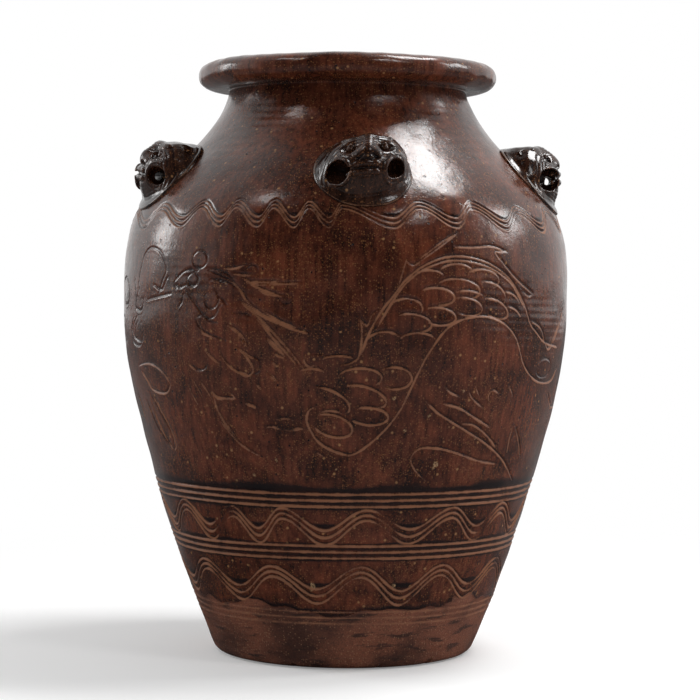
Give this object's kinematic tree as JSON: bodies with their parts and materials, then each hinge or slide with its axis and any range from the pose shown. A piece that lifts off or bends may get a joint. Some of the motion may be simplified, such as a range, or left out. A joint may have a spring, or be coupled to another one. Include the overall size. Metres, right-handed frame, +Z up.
{
  "type": "storage jar",
  "caption": "Tall stoneware storage jar with a wide belly, short neck, rolled rim and pierced lion-mask lugs on the shoulder for a cover's cord.",
  "frame": {"origin": "centre of the flat foot, on the floor it stands on", "axes": "+Z up through the mouth; -Y is the front, and the front mask is turned a little from it towards +X; the side masks are 76 degrees from it"},
  "size_m": [0.4412, 0.4412, 0.5835],
  "materials": {
    "brown_glaze": "glossy dark brown glaze, mottled reddish, lighter where it breaks over edges",
    "pooled_glaze": "glossy brown-black glaze, pooled in the hollows of the relief",
    "bare_stoneware": "matt reddish-brown fired stoneware with dark smears"
  },
  "bodies": {
    "root": {"base_disc": "bare_stoneware", "foot_wall": "bare_stoneware", "lower_wall": "brown_glaze", "belly_wall": "brown_glaze", "upper_wall": "brown_glaze", "shoulder": "brown_glaze", "neck": "brown_glaze", "rim": "brown_glaze", "lug_front_pad": "pooled_glaze", "lug_front_head": "pooled_glaze", "lug_front_lips": "pooled_glaze", "lug_front_eyes": "pooled_glaze", "lug_front_ears": "pooled_glaze", "lug_right_pad": "pooled_glaze", "lug_right_head": "pooled_glaze", "lug_right_lips": "pooled_glaze", "lug_right_eyes": "pooled_glaze", "lug_right_ears": "pooled_glaze", "lug_back_pad": "pooled_glaze", "lug_back_head": "pooled_glaze", "lug_back_lips": "pooled_glaze", "lug_back_eyes": "pooled_glaze", "lug_back_ears": "pooled_glaze", "lug_left_pad": "pooled_glaze", "lug_left_head": "pooled_glaze", "lug_left_lips": "pooled_glaze", "lug_left_eyes": "pooled_glaze", "lug_left_ears": "pooled_glaze"}
  },
  "joints": []
}
